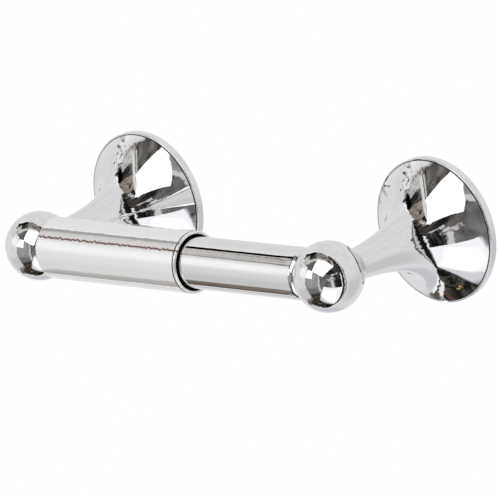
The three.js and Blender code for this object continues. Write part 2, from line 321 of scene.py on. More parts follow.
def node(tree, kind, **settings):
    """A new node, with its properties set, and its inputs set or linked by name."""
    made = tree.nodes.new(kind)
    for key, value in settings.items():
        if key != "inputs":
            setattr(made, key, value)
    for key, value in settings.get("inputs", {}).items():
        if isinstance(value, bpy.types.NodeSocket):
            tree.links.new(value, made.inputs[key])
        else:
            made.inputs[key].default_value = value
    return made


def polish_group():
    """Handling marks on a polished surface: soft smears and hairline wipes that only change
    how sharp the reflections are, and the slow ripple that polishing leaves."""
    group, given, result = shader_group("polished_surface", [
        ("Vector", "NodeSocketVector", (0, 0, 0)),
        ("Roughness", "NodeSocketFloat", 0.03),
        ("Smears", "NodeSocketFloat", 0.03),
        ("Hairlines", "NodeSocketFloat", 0.02),
        ("Ripple Size", "NodeSocketFloat", 0.004),
        ("Ripple Height", "NodeSocketFloat", 0.00001),
    ], [("Roughness", "NodeSocketFloat"), ("Normal", "NodeSocketVector")])
    place = given.outputs["Vector"]
    smear = node(group, "ShaderNodeTexNoise", inputs={
        "Vector": place, "Scale": 55, "Detail": 4, "Roughness": 0.55, "Distortion": 0.8})
    smear_share = node(group, "ShaderNodeMapRange", inputs={
        "Value": smear.outputs["Fac"], "From Min": 0.48, "From Max": 0.75})
    turn = node(group, "ShaderNodeMapping", inputs={
        "Vector": place, "Rotation": (0.4, 0.3, 0.9), "Scale": (3000, 90, 260)})
    hair = node(group, "ShaderNodeTexNoise", inputs={
        "Vector": turn.outputs["Vector"], "Scale": 1, "Detail": 2, "Roughness": 0.4})
    hair_share = node(group, "ShaderNodeMapRange", inputs={
        "Value": hair.outputs["Fac"], "From Min": 0.64, "From Max": 0.74})
    smeared = node(group, "ShaderNodeMath", operation="MULTIPLY_ADD", inputs={
        0: smear_share.outputs["Result"], 1: given.outputs["Smears"], 2: given.outputs["Roughness"]})
    wiped = node(group, "ShaderNodeMath", operation="MULTIPLY_ADD", inputs={
        0: hair_share.outputs["Result"], 1: given.outputs["Hairlines"], 2: smeared.outputs[0]})
    frequency = node(group, "ShaderNodeMath", operation="DIVIDE", inputs={
        0: 1.0, 1: given.outputs["Ripple Size"]})
    ripple = node(group, "ShaderNodeTexNoise", inputs={
        "Vector": place, "Scale": frequency.outputs[0], "Detail": 2, "Roughness": 0.5})
    bump = node(group, "ShaderNodeBump", inputs={
        "Height": ripple.outputs["Fac"], "Distance": given.outputs["Ripple Height"],
        "Strength": 1.0})
    group.links.new(wiped.outputs[0], result.inputs["Roughness"])
    group.links.new(bump.outputs["Normal"], result.inputs["Normal"])
    return group


def new_material(name):
    """A material with its principled shader, and the place on the piece to paint by."""
    material = bpy.data.materials.new(name)
    material.use_nodes = True
    tree = material.node_tree
    place = node(tree, "ShaderNodeTexCoord").outputs["Object"]
    return material, tree, tree.nodes["Principled BSDF"], place


polish = polish_group()


def chrome_material(name, base, metallic, smears, ripple_size, ripple_height, roughness=0.02):
    material, tree, shader, place = new_material(name)
    shader.inputs["Metallic"].default_value = metallic
    surface = node(tree, "ShaderNodeGroup", node_tree=polish, inputs={
        "Vector": place, "Roughness": roughness, "Smears": smears,
        "Ripple Size": ripple_size, "Ripple Height": ripple_height})
    cloud = node(tree, "ShaderNodeTexNoise", inputs={"Vector": place, "Scale": 30, "Detail": 3})
    tint = node(tree, "ShaderNodeMix", data_type="RGBA", inputs={
        "Factor": cloud.outputs["Fac"], "A": (*[c * 0.97 for c in base], 1), "B": (*base, 1)})
    tree.links.new(tint.outputs["Result"], shader.inputs["Base Color"])
    tree.links.new(surface.outputs["Roughness"], shader.inputs["Roughness"])
    tree.links.new(surface.outputs["Normal"], shader.inputs["Normal"])
    return material


cast_chrome = chrome_material(
    "cast_chrome", base=(0.90, 0.905, 0.915), metallic=1, smears=0.03,
    ripple_size=7 * MM, ripple_height=0.03 * MM)

# Painted shade: a near-black colour, mottled a little, painted on the floors of the narrow grooves in
# the rims and on the outer tube's bead, where shade falls.
painted_groove_shade, groove_shade_nodes, shader, place = new_material("painted_groove_shade")
shade_mottle = node(groove_shade_nodes, "ShaderNodeTexNoise", inputs={"Vector": place, "Scale": 1500, "Detail": 3})
shade = node(groove_shade_nodes, "ShaderNodeMix", data_type="RGBA", inputs={
    "Factor": shade_mottle.outputs["Fac"], "A": (0.004, 0.004, 0.004, 1), "B": (0.03, 0.027, 0.025, 1)})
groove_shade_nodes.links.new(shade.outputs["Result"], shader.inputs["Base Color"])
shader.inputs["Roughness"].default_value = 0.6

groove_start = rim_radius - RIM_BEVEL
for side, inward in (("left", 1), ("right", -1)):
    casting = post_piece(side, -inward * post_place, inward)
    casting.data.materials.append(cast_chrome)
    # The floor of the rim's groove is painted dark as shade.
    coat(casting, painted_groove_shade, lambda co: (
        groove_start < math.hypot(co.x + inward * post_place, co.z) < groove_start + GROOVE_WIDTH / 2
        and -RIM_HEIGHT + 0.1 * GROOVE_DEPTH < co.y < -RIM_HEIGHT + 1.1 * GROOVE_DEPTH))
    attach(casting, "holder")
    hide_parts("post_" + side)


# Wall brackets: a strip of zinc-plated steel, pressed so that its two ends stand forwards,
# with two punched holes. It is screwed flat on the wall, and the casting hooks over it.

BRACKET_THICKNESS = 1.6 * MM
BRACKET_BEND = 13.7 * MM
HOLE_OFFSET = 9.5 * MM
HOLE_RADIUS = 2.2 * MM


def bracket_piece(side, place):
    low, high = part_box("bracket_" + side)
    strip = block(
        (low.x, -BRACKET_THICKNESS, -BRACKET_BEND), (high.x, 0, BRACKET_BEND), 0.25 * MM)
    strip.name = "wall_bracket_" + side
    pick(strip)
    diagonal = BRACKET_THICKNESS / math.sqrt(2)
    reach = high.z - BRACKET_BEND
    bpy.ops.object.mode_set(mode="EDIT")
    for end in (1, -1):
        inner = BRACKET_BEND - BRACKET_THICKNESS * math.tan(math.pi / 8)
        edge = 0.2 * MM
        choose(lambda co: end * co.z > BRACKET_BEND - edge, "polygons")
        bpy.ops.mesh.extrude_region_move(
            TRANSFORM_OT_translate={"value": (0, -reach, end * reach)})
        choose(lambda co: end * co.z > BRACKET_BEND + reach / 2 and co.y < -reach - 0.8 * MM)
        bpy.ops.transform.translate(value=(0, BRACKET_THICKNESS - diagonal, -end * diagonal))
        choose(lambda co: abs(end * co.z - BRACKET_BEND) < 2 * edge and co.y < -1.2 * MM)
        bpy.ops.transform.translate(value=(0, 0, end * (inner - BRACKET_BEND)))
    bpy.ops.object.mode_set(mode="OBJECT")
    for z in (-HOLE_OFFSET, HOLE_OFFSET):
        punch = turned("punch", "Y", (place, 0, z), [
            (0, -4 * MM), (HOLE_RADIUS + 1 * MM, -4 * MM), (HOLE_RADIUS + 0.3 * MM, -1.75 * MM),
            (HOLE_RADIUS, -1.3 * MM), (HOLE_RADIUS, 2 * MM), (0, 2 * MM)], 48)
        combine(strip, punch, "DIFFERENCE")
    smooth(strip, 30)
    return strip


def plated_material(name, base, roughness, metallic=1):
    """Dull plating: mottled grains in colour and in sharpness, over fine rolling marks."""
    material, tree, shader, place = new_material(name)
    shader.inputs["Metallic"].default_value = metallic
    grains = node(tree, "ShaderNodeTexVoronoi", inputs={"Vector": place, "Scale": 900})
    grey = node(tree, "ShaderNodeMapRange", inputs={
        "Value": grains.outputs["Color"], "To Min": 0.82, "To Max": 1.0})
    tint = node(tree, "ShaderNodeMix", data_type="RGBA", blend_type="MULTIPLY", inputs={
        "Factor": 1.0, "A": (*base, 1), "B": grey.outputs["Result"]})
    mottle = node(tree, "ShaderNodeTexNoise", inputs={"Vector": place, "Scale": 420, "Detail": 4})
    rough = node(tree, "ShaderNodeMapRange", inputs={
        "Value": mottle.outputs["Fac"], "From Min": 0.3, "From Max": 0.7,
        "To Min": roughness * 0.75, "To Max": roughness * 1.3})
    bump = node(tree, "ShaderNodeBump", inputs={
        "Height": mottle.outputs["Fac"], "Distance": 0.02 * MM, "Strength": 0.6})
    tree.links.new(tint.outputs["Result"], shader.inputs["Base Color"])
    tree.links.new(rough.outputs["Result"], shader.inputs["Roughness"])
    tree.links.new(bump.outputs["Normal"], shader.inputs["Normal"])
    return material


zinc_steel = plated_material("zinc_steel", (0.72, 0.73, 0.71), 0.32)

for side, inward in (("left", 1), ("right", -1)):
    strip = bracket_piece(side, -inward * post_place)
    strip.data.materials.append(zinc_steel)
    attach(strip, "holder")
    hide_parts("bracket_" + side)


# Set screws: a black M3 cone-point grub screw with a hexagon socket, driven up through the
# boss under the rim until its cone pulls the casting onto the bracket.

THREAD_PITCH = 0.5 * MM
THREAD_DEPTH = 0.25 * MM
CREST_SHARE = 0.15
FLANK_SHARE = 0.55
ROOT_SHARE = 0.6
KEY_RADIUS = 0.87 * MM
KEY_DEPTH = 2 * MM


def threads(radius, start, stop, pitch, depth):
    """Rows of a screw thread, from the first crest to the last."""
    count = int(abs(stop - start) / pitch)
    way = math.copysign(pitch, stop - start)
    rows = []
    for i in range(count):
        crest = start + way * i
        rows += [(radius, crest), (radius, crest + way * CREST_SHARE),
                 (radius - depth, crest + way * FLANK_SHARE), (radius - depth, crest + way * ROOT_SHARE)]
    return rows


def set_screw_piece(side, place):
    low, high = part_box("set_screw_" + side)
    radius = (high.x - low.x) / 2
    cone = high.z - radius
    piece = turned("grub_screw_" + side, "Z", (place, -SET_SCREW_DEPTH, 0), [
        (0, low.z), (radius - THREAD_DEPTH, low.z),
        *threads(radius, low.z + THREAD_DEPTH, cone, THREAD_PITCH, THREAD_DEPTH),
        (radius - THREAD_DEPTH, cone), (0, high.z)], 40)
    key = turned("key", "Z", (place, -SET_SCREW_DEPTH, 0), [
        (0, low.z - KEY_DEPTH), (KEY_RADIUS, low.z - KEY_DEPTH), (KEY_RADIUS, low.z + KEY_DEPTH),
        (0, low.z + 1.2 * KEY_DEPTH)], 6)
    combine(piece, key, "DIFFERENCE")
    smooth(piece, 25)
    return piece


black_steel = plated_material("black_steel", (0.035, 0.034, 0.036), 0.38, metallic=0.85)

for side, inward in (("left", 1), ("right", -1)):
    grub = set_screw_piece(side, -inward * post_place)
    grub.data.materials.append(black_steel)
    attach(grub, "holder")
    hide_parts("set_screw_" + side)


# Wall screws: zinc-plated pan-head screws with a cross recess, two through each bracket into
# the anchors. The thread runs from a short plain neck to the point.

HEAD_RADIUS = 3.6 * MM
SHANK_RADIUS = 1.75 * MM
SCREW_THREAD_DEPTH = 0.45 * MM
SCREW_PITCH = 1.5 * MM
HEAD_GAP = 0.3 * MM
DOME_FLATNESS = 0.7
NECK_LENGTH = 2 * MM
RECESS_DEPTH = 1.2 * MM
RECESS_ARM = 2 * MM
RECESS_SLOT = 0.45 * MM


def wall_screw_piece(name, node_name, place, level):
    low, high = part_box(node_name)
    head = -BRACKET_THICKNESS - HEAD_GAP
    point = high.y
    neck = head + NECK_LENGTH
    taper = point - 2.6 * SHANK_RADIUS
    crown = head - low.y
    dome = [(HEAD_RADIUS * math.sin(math.radians(a)),
             head - crown * math.cos(math.radians(a)) ** DOME_FLATNESS) for a in range(10, 90, 10)]
    piece = turned(name, "Y", (place, 0, level), [
        (0, low.y), *dome, (HEAD_RADIUS, head - 0.15 * MM), (HEAD_RADIUS - 0.15 * MM, head),
        (SHANK_RADIUS, head), (SHANK_RADIUS, neck), (SHANK_RADIUS - SCREW_THREAD_DEPTH, neck + 0.3 * MM),
        *threads(SHANK_RADIUS, neck + 0.8 * MM, taper, SCREW_PITCH, SCREW_THREAD_DEPTH),
        (SHANK_RADIUS - SCREW_THREAD_DEPTH, taper), (0, point)], 40)
    for half in ((RECESS_ARM, RECESS_SLOT), (RECESS_SLOT, RECESS_ARM)):
        tool = block((place - half[0], low.y - RECESS_DEPTH, level - half[1]),
                     (place + half[0], low.y + RECESS_DEPTH, level + half[1]), 0.1 * MM)
        combine(piece, tool, "DIFFERENCE")
    smooth(piece, 25)
    return piece


screw_zinc = plated_material("screw_zinc", (0.70, 0.71, 0.70), 0.26)

for side, inward in (("left", 1), ("right", -1)):
    for label, level in (("upper", HOLE_OFFSET), ("lower", -HOLE_OFFSET)):
        stands_for = f"wall_screw_{label}_{side}"
        screw = wall_screw_piece(
            f"pan_head_screw_{label}_{side}", stands_for, -inward * post_place, level)
        screw.data.materials.append(screw_zinc)
        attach(screw, "holder")
        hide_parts(stands_for)


# Wall anchors: off-white nylon sleeves, ribbed outside and slit from the tip so that the
# screw spreads them in their hole. The collar sits in the mouth of the hole.

ANCHOR_RADIUS = 3.1 * MM
ANCHOR_TIP = 2.7 * MM
ANCHOR_BORE = 2.1 * MM
ANCHOR_RIBS = 7
ANCHOR_COLLAR = 0.9 * MM
ANCHOR_EDGE = 0.2 * MM
SLIT_HALF_WIDTH = 0.4 * MM
SLIT_LENGTH = 11 * MM


def anchor_piece(name, node_name, place, level):
    low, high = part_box(node_name)
    collar = (high.x - low.x) / 2
    collar_end = low.y + ANCHOR_COLLAR
    pitch = (high.y - 2.5 * MM - collar_end) / ANCHOR_RIBS
    ribs = []
    for i in range(ANCHOR_RIBS):
        start = collar_end + i * pitch
        ribs += [(ANCHOR_TIP, start + 0.1 * pitch), (ANCHOR_RADIUS, start + 0.85 * pitch),
                 (ANCHOR_RADIUS, start + pitch)]
    rows = [
        (ANCHOR_BORE, low.y + ANCHOR_EDGE), (ANCHOR_BORE + ANCHOR_EDGE, low.y),
        (collar - ANCHOR_EDGE, low.y), (collar, low.y + ANCHOR_EDGE),
        (collar, collar_end - ANCHOR_EDGE), (collar - ANCHOR_EDGE, collar_end),
        (ANCHOR_TIP, collar_end), *ribs, (ANCHOR_TIP, high.y - 2.3 * MM),
        (ANCHOR_BORE + 2 * ANCHOR_EDGE, high.y - ANCHOR_EDGE), (ANCHOR_BORE + ANCHOR_EDGE, high.y),
        (ANCHOR_BORE, high.y),
    ]
    piece = turned(name, "Y", (place, 0, level), [*rows, rows[0]], 48)
    slit = block((place - SLIT_HALF_WIDTH, high.y - SLIT_LENGTH, level - 2 * collar),
                 (place + SLIT_HALF_WIDTH, high.y + 1 * MM, level + 2 * collar), 0.15 * MM)
    combine(piece, slit, "DIFFERENCE")
    smooth(piece, 35)
    return piece


def moulded_material(name, base, roughness):
    """Moulded plastic: cloudy colour and roughness, and a fine eggshell texture."""
    material, tree, shader, place = new_material(name)
    cloud = node(tree, "ShaderNodeTexNoise", inputs={"Vector": place, "Scale": 160, "Detail": 3})
    tint = node(tree, "ShaderNodeMix", data_type="RGBA", inputs={
        "Factor": cloud.outputs["Fac"], "A": (*[c * 0.88 for c in base], 1), "B": (*base, 1)})
    grain = node(tree, "ShaderNodeTexNoise", inputs={"Vector": place, "Scale": 2600, "Detail": 2})
    rough = node(tree, "ShaderNodeMapRange", inputs={
        "Value": cloud.outputs["Fac"], "To Min": roughness * 0.8, "To Max": roughness * 1.25})
    bump = node(tree, "ShaderNodeBump", inputs={
        "Height": grain.outputs["Fac"], "Distance": 0.02 * MM, "Strength": 0.7})
    shader.inputs["Subsurface Weight"].default_value = 0.1
    shader.inputs["Subsurface Radius"].default_value = (1 * MM, 0.8 * MM, 0.6 * MM)
    tree.links.new(tint.outputs["Result"], shader.inputs["Base Color"])
    tree.links.new(rough.outputs["Result"], shader.inputs["Roughness"])
    tree.links.new(bump.outputs["Normal"], shader.inputs["Normal"])
    return material


anchor_nylon = moulded_material("anchor_nylon", (0.80, 0.78, 0.70), 0.45)

for side, inward in (("left", 1), ("right", -1)):
    for label, level in (("upper", HOLE_OFFSET), ("lower", -HOLE_OFFSET)):
        stands_for = f"wall_anchor_{label}_{side}"
        anchor = anchor_piece(
            f"nylon_anchor_{label}_{side}", stands_for, -inward * post_place, level)
        anchor.data.materials.append(anchor_nylon)
        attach(anchor, "holder")
        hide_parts(stands_for)


# Outer tube of the roller: rolled and seamed steel, its left end turned in round the pin and
# its mouth rolled over behind a fine bead. A ridge inside keeps the guide collar in. The
# plating is a little milky, a dark red line along it is a painted reflection, and the bore is painted
# shade.

OUTER_RADIUS = 12 * MM
OUTER_WALL = 1.2 * MM
OUTER_EDGE = 1.2 * MM
RIDGE_RADIUS = 10.35 * MM
RIDGE_PLACE = -4 * MM
RIDGE_WIDTH = 1.4 * MM
PIN_HOLE = 4.6 * MM
BEAD_PLACE = 1.42 * MM
BEAD_WIDTH = 0.55 * MM
BEAD_DEPTH = 0.18 * MM
BEAD_SLOPE = 0.12 * MM
RIDGE_ROUND = 0.1 * MM
TUBE_BURR = 0.15 * MM
RING_STEP = 8 * MM
roller_centre = (0, -roller_depth, 0)

outer_low, outer_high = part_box("roller_outer_tube")
outer_bore = OUTER_RADIUS - OUTER_WALL
lip = OUTER_WALL / 2
inner_edge = 0.4 * MM
wall_face = outer_low.x + OUTER_WALL
bead = outer_high.x - BEAD_PLACE
outer_rows = [
    (PIN_HOLE, outer_low.x + TUBE_BURR), (PIN_HOLE + TUBE_BURR, outer_low.x),
    *arc(OUTER_RADIUS - OUTER_EDGE, outer_low.x + OUTER_EDGE, OUTER_EDGE, -90, 0, 10),
    *[(OUTER_RADIUS, outer_low.x + RING_STEP * i) for i in range(1, 9)],
    (OUTER_RADIUS, bead), (OUTER_RADIUS - BEAD_DEPTH, bead + BEAD_SLOPE),
    (OUTER_RADIUS - BEAD_DEPTH, bead + BEAD_WIDTH - BEAD_SLOPE), (OUTER_RADIUS, bead + BEAD_WIDTH),
    *arc(OUTER_RADIUS - lip, outer_high.x - lip, lip, 0, 180, 14),
    (outer_bore, RIDGE_PLACE + RIDGE_WIDTH),
    (RIDGE_RADIUS + RIDGE_ROUND, RIDGE_PLACE + RIDGE_WIDTH / 2),
    (RIDGE_RADIUS, RIDGE_PLACE + RIDGE_WIDTH / 4), (RIDGE_RADIUS, RIDGE_PLACE - RIDGE_WIDTH / 4),
    (RIDGE_RADIUS + RIDGE_ROUND, RIDGE_PLACE - RIDGE_WIDTH / 2),
    (outer_bore, RIDGE_PLACE - RIDGE_WIDTH),
    *arc(outer_bore - inner_edge, wall_face + inner_edge, inner_edge, 0, -90, 4),
    (PIN_HOLE, wall_face),
]
outer_tube = turned("outer_tube", "X", roller_centre, [*outer_rows, outer_rows[0]])
smooth(outer_tube, 30)

# Painted reflection: a thin dark red line along the outer tube, wavering a little, painted into its
# colour.
RED_LINE_ANGLE = 38.3
RED_LINE_WANDER = 1.7 * MM
RED_LINE_WIDTH = 0.5 * MM

outer_chrome = chrome_material(
    "outer_chrome", base=(0.95, 0.95, 0.945), metallic=0.55, smears=0.04,
    ripple_size=2.2 * MM, ripple_height=0.06 * MM, roughness=0.05)
tree = outer_chrome.node_tree
shader = tree.nodes["Principled BSDF"]
place = node(tree, "ShaderNodeTexCoord").outputs["Object"]
spread = node(tree, "ShaderNodeSeparateXYZ", inputs={"Vector": place}).outputs
forward = node(tree, "ShaderNodeMath", operation="SUBTRACT", inputs={0: -roller_depth, 1: spread["Y"]})
angle = node(tree, "ShaderNodeMath", operation="ARCTAN2", inputs={0: spread["Z"], 1: forward.outputs[0]})
around = node(tree, "ShaderNodeMath", operation="MULTIPLY_ADD", inputs={
    0: angle.outputs[0], 1: OUTER_RADIUS, 2: -OUTER_RADIUS * math.radians(RED_LINE_ANGLE)})
jag = node(tree, "ShaderNodeTexNoise", noise_dimensions="1D", inputs={
    "W": spread["X"], "Scale": 520, "Detail": 2, "Roughness": 0.6})
wander = node(tree, "ShaderNodeMath", operation="MULTIPLY_ADD", inputs={
    0: jag.outputs["Fac"], 1: RED_LINE_WANDER, 2: -RED_LINE_WANDER / 2})
off = node(tree, "ShaderNodeMath", operation="SUBTRACT", inputs={
    0: around.outputs[0], 1: wander.outputs[0]})
off = node(tree, "ShaderNodeMath", operation="ABSOLUTE", inputs={0: off.outputs[0]})
red_reflection_line = node(tree, "ShaderNodeMapRange", interpolation_type="SMOOTHSTEP", inputs={
    "Value": off.outputs[0], "From Min": 0.3 * RED_LINE_WIDTH, "From Max": RED_LINE_WIDTH,
    "To Min": 0.95, "To Max": 0.0}).outputs["Result"]
# The plating's colour is mixed towards dark red along that line, as a painted reflection.
plain = shader.inputs["Base Color"].links[0].from_socket
painted_red_reflection = node(tree, "ShaderNodeMix", data_type="RGBA", inputs={
    "Factor": red_reflection_line, "A": plain, "B": (0.20, 0.035, 0.03, 1)})
tree.links.new(painted_red_reflection.outputs["Result"], shader.inputs["Base Color"])
outer_tube.data.materials.append(outer_chrome)
# Painted shade: the bore, ridge and inner end of the outer tube are painted near black, as the shade
# inside the tube.
painted_bore_shade = plated_material("painted_bore_shade", (0.03, 0.029, 0.028), 0.6, metallic=0.5)
coat(outer_tube, painted_bore_shade, lambda co: (
    math.hypot(co.y + roller_depth, co.z) < outer_bore + 0.1 * OUTER_WALL and co.x > wall_face))
# The floor of the bead's groove is painted dark as shade.
coat(outer_tube, painted_groove_shade, lambda co: (
    bead < co.x < bead + BEAD_WIDTH
    and -2 * BEAD_DEPTH < math.hypot(co.y + roller_depth, co.z) - OUTER_RADIUS < -0.3 * BEAD_DEPTH))
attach(outer_tube, "roller_outer")
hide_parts("roller_outer_tube")


# Inner tube of the roller: a thinner drawn steel tube, its right end domed in round the pin.
# It slides in the outer tube against the spring.

INNER_RADIUS = 10 * MM
INNER_WALL = 1 * MM
INNER_EDGE = 2.5 * MM

inner_low, inner_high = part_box("roller_inner_tube")
inner_bore = INNER_RADIUS - INNER_WALL
inner_shoulder = inner_high.x - INNER_EDGE
cut = 0.2 * MM
inner_rows = [
    (inner_bore, inner_low.x + cut), (inner_bore + cut, inner_low.x),
    (INNER_RADIUS - cut, inner_low.x), (INNER_RADIUS, inner_low.x + cut),
    *[(INNER_RADIUS, inner_low.x + RING_STEP * i) for i in range(1, 10)],
    *arc(INNER_RADIUS - INNER_EDGE, inner_shoulder, INNER_EDGE, 0, 90, 14),
    (PIN_HOLE + TUBE_BURR, inner_high.x), (PIN_HOLE, inner_high.x - TUBE_BURR),
    (PIN_HOLE, inner_high.x - INNER_WALL),
    *arc(INNER_RADIUS - INNER_EDGE, inner_shoulder, INNER_EDGE - INNER_WALL, 90, 0, 8),
]
inner_tube = turned("inner_tube", "X", roller_centre, [*inner_rows, inner_rows[0]])
smooth(inner_tube, 30)

inner_chrome = chrome_material(
    "inner_chrome", base=(0.91, 0.91, 0.905), metallic=1, smears=0.03,
    ripple_size=5 * MM, ripple_height=0.02 * MM, roughness=0.03)
inner_tube.data.materials.append(inner_chrome)
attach(inner_tube, "roller_inner")
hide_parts("roller_inner_tube")


# Pin plugs: turned and plated steel, pressed into the tubes. Each has a round-nosed pin that
# turns in the socket of its ball, and the left one a spigot that centres the spring.

PIN_RADIUS = 4.2 * MM
PIN_ROUND = 1.5 * MM
PLUG_LENGTH = 8 * MM
SPIGOT_RADIUS = 5.2 * MM
FIT = 0.3 * MM

pin_steel = chrome_material(
    "pin_steel", base=(0.78, 0.79, 0.80), metallic=1, smears=0.08,
    ripple_size=3 * MM, ripple_height=0.01 * MM, roughness=0.14)


def pin_plug(name, node_name, bore, wall, tube_end, way, spigot, body):
    low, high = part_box(node_name)
    tip = low.x if way < 0 else high.x
    back = high.x if way < 0 else low.x
    face = tube_end - way * (wall + FIT)
    base = face - way * PLUG_LENGTH
    radius = bore - FIT
    soft = 0.3 * MM
    rows = [(0, back)]
    if spigot:
        rows += [(SPIGOT_RADIUS - soft, back), (SPIGOT_RADIUS, back + way * soft), (SPIGOT_RADIUS, base)]
    nose = arc(PIN_RADIUS - PIN_ROUND, 0, PIN_ROUND, 0, 88, 8)
    rows += [
        (radius - soft, base), (radius, base + way * soft), (radius, face - way * INNER_EDGE),
        (radius - INNER_EDGE, face), (PIN_RADIUS, face), (PIN_RADIUS, face + way * soft),
        *[(r, tip - way * (PIN_ROUND - p)) for r, p in nose], (0, tip),
    ]
    piece = turned(name, "X", roller_centre, rows, 64)
    smooth(piece, 30)
    piece.data.materials.append(pin_steel)
    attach(piece, body)
    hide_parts(node_name)


pin_plug("pin_plug_left", "roller_pin_left", outer_bore, OUTER_WALL, outer_low.x, -1, True,
         "roller_outer")
pin_plug("pin_plug_right", "roller_pin_right", inner_bore, INNER_WALL, inner_high.x, 1, False,
         "roller_inner")


# Guide collar: a white acetal bush pressed into the inner tube's hidden end. Its skirt slides
# in the outer tube and its spigot centres the spring.

SPIGOT_LENGTH = 4 * MM

collar_low, collar_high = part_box("roller_guide_collar")
seat = collar_low.x + SPIGOT_LENGTH
skirt = (collar_high.z - collar_low.z) / 2
skirt_end = inner_low.x - FIT
soft = 0.4 * MM
collar = turned("guide_collar", "X", roller_centre, [
    (0, collar_low.x), (SPIGOT_RADIUS - soft, collar_low.x), (SPIGOT_RADIUS, collar_low.x + soft),
    (SPIGOT_RADIUS, seat), (skirt - soft, seat), (skirt, seat + soft),
    (skirt, skirt_end - soft), (skirt - soft, skirt_end), (inner_bore - FIT, skirt_end),
    (inner_bore - FIT, collar_high.x - soft), (inner_bore - FIT - soft, collar_high.x),
    (0, collar_high.x)], 64)
smooth(collar, 30)
collar.data.materials.append(moulded_material("collar_acetal", (0.83, 0.83, 0.81), 0.35))
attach(collar, "roller_inner")
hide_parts("roller_guide_collar")


# Spring: drawn steel wire wound open, its end turns closer together where they bear on the
# plug and on the collar.

SPRING_RADIUS = 6.9 * MM
WIRE_RADIUS = 0.65 * MM
SPRING_TURNS = 9
SPRING_CLOSING = 0.6

spring_low, spring_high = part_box("roller_spring")
coil = bpy.data.curves.new("compression_spring", "CURVE")
coil.dimensions = "3D"
coil.bevel_depth = WIRE_RADIUS
coil.bevel_resolution = 3
coil.use_fill_caps = True
steps = 40 * SPRING_TURNS
thread = coil.splines.new("POLY")
thread.points.add(steps)
start, stop = spring_low.x + WIRE_RADIUS, spring_high.x - WIRE_RADIUS
for i, point in enumerate(thread.points):
    share = i / steps
    eased = share - SPRING_CLOSING * math.sin(2 * math.pi * share) / (2 * math.pi)
    angle = 2 * math.pi * SPRING_TURNS * share
    point.co = (start + (stop - start) * eased,
                SPRING_RADIUS * math.sin(angle) - roller_depth, SPRING_RADIUS * math.cos(angle), 1)
spring = bpy.data.objects.new("compression_spring", coil)
bpy.context.scene.collection.objects.link(spring)
pick(spring)
bpy.ops.object.convert(target="MESH")
spring = bpy.context.object
smooth(spring, 40)
spring.data.materials.append(plated_material("spring_wire", (0.45, 0.46, 0.48), 0.28))
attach(spring, "roller_outer")
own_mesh(spring)
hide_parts("roller_spring")


# Studio: a pale tent all round, open towards the room. The room is dark but for a grey wall
# and a small window, and two large soft boxes hang in it, one above and one below.

PANEL_SIDES = 4
WAVER = 5.0


def panel_group():
    """A flat four-sided shape far away: how far a direction falls inside it, 0 to 1. Each side
    is given as the normal of the plane through that side and the piece."""
    sides = [f"Side {i + 1}" for i in range(PANEL_SIDES)]
    group, given, result = shader_group("far_panel", [
        ("Direction", "NodeSocketVector", (0, 0, 0)), ("Softness", "NodeSocketFloat", 0.01),
        *[(side, "NodeSocketVector", (0, 0, 0)) for side in sides],
    ], [("Mask", "NodeSocketFloat")])
    outer = node(group, "ShaderNodeMath", operation="MULTIPLY", inputs={
        0: given.outputs["Softness"], 1: -1.0}).outputs[0]
    mask = None
    for side in sides:
        depth = node(group, "ShaderNodeVectorMath", operation="DOT_PRODUCT", inputs={
            0: given.outputs["Direction"], 1: given.outputs[side]}).outputs["Value"]
        inside = node(group, "ShaderNodeMapRange", interpolation_type="SMOOTHSTEP", inputs={
            "Value": depth, "From Min": outer, "From Max": given.outputs["Softness"]})
        inside = inside.outputs["Result"]
        if mask is not None:
            inside = node(group, "ShaderNodeMath", operation="MULTIPLY", inputs={
                0: mask, 1: inside}).outputs[0]
        mask = inside
    group.links.new(mask, result.inputs["Mask"])
    return group


def zone_group():
    """A patch of the sky between two azimuths and two elevations, all in degrees."""
    group, given, result = shader_group("sky_zone", [
        ("Azimuth", "NodeSocketFloat", 0), ("Elevation", "NodeSocketFloat", 0),
        ("West", "NodeSocketFloat", -180), ("East", "NodeSocketFloat", 180),
        ("Bottom", "NodeSocketFloat", -90), ("Top", "NodeSocketFloat", 90),
        ("Edge", "NodeSocketFloat", 2),
    ], [("Mask", "NodeSocketFloat")])
    mask = None
    for value, limit, sign in (("Azimuth", "West", 1), ("Azimuth", "East", -1),
                               ("Elevation", "Bottom", 1), ("Elevation", "Top", -1)):
        past = node(group, "ShaderNodeMath", operation="SUBTRACT", inputs={
            0: given.outputs[value], 1: given.outputs[limit]})
        share = node(group, "ShaderNodeMath", operation="DIVIDE", inputs={
            0: past.outputs[0], 1: given.outputs["Edge"]})
        inside = node(group, "ShaderNodeMapRange", interpolation_type="SMOOTHSTEP", inputs={
            "Value": share.outputs[0], "From Min": -0.5 * sign, "From Max": 0.5 * sign})
        step = inside.outputs["Result"]
        if mask is not None:
            step = node(group, "ShaderNodeMath", operation="MULTIPLY", inputs={
                0: mask, 1: step}).outputs[0]
        mask = step
    group.links.new(mask, result.inputs["Mask"])
    return group


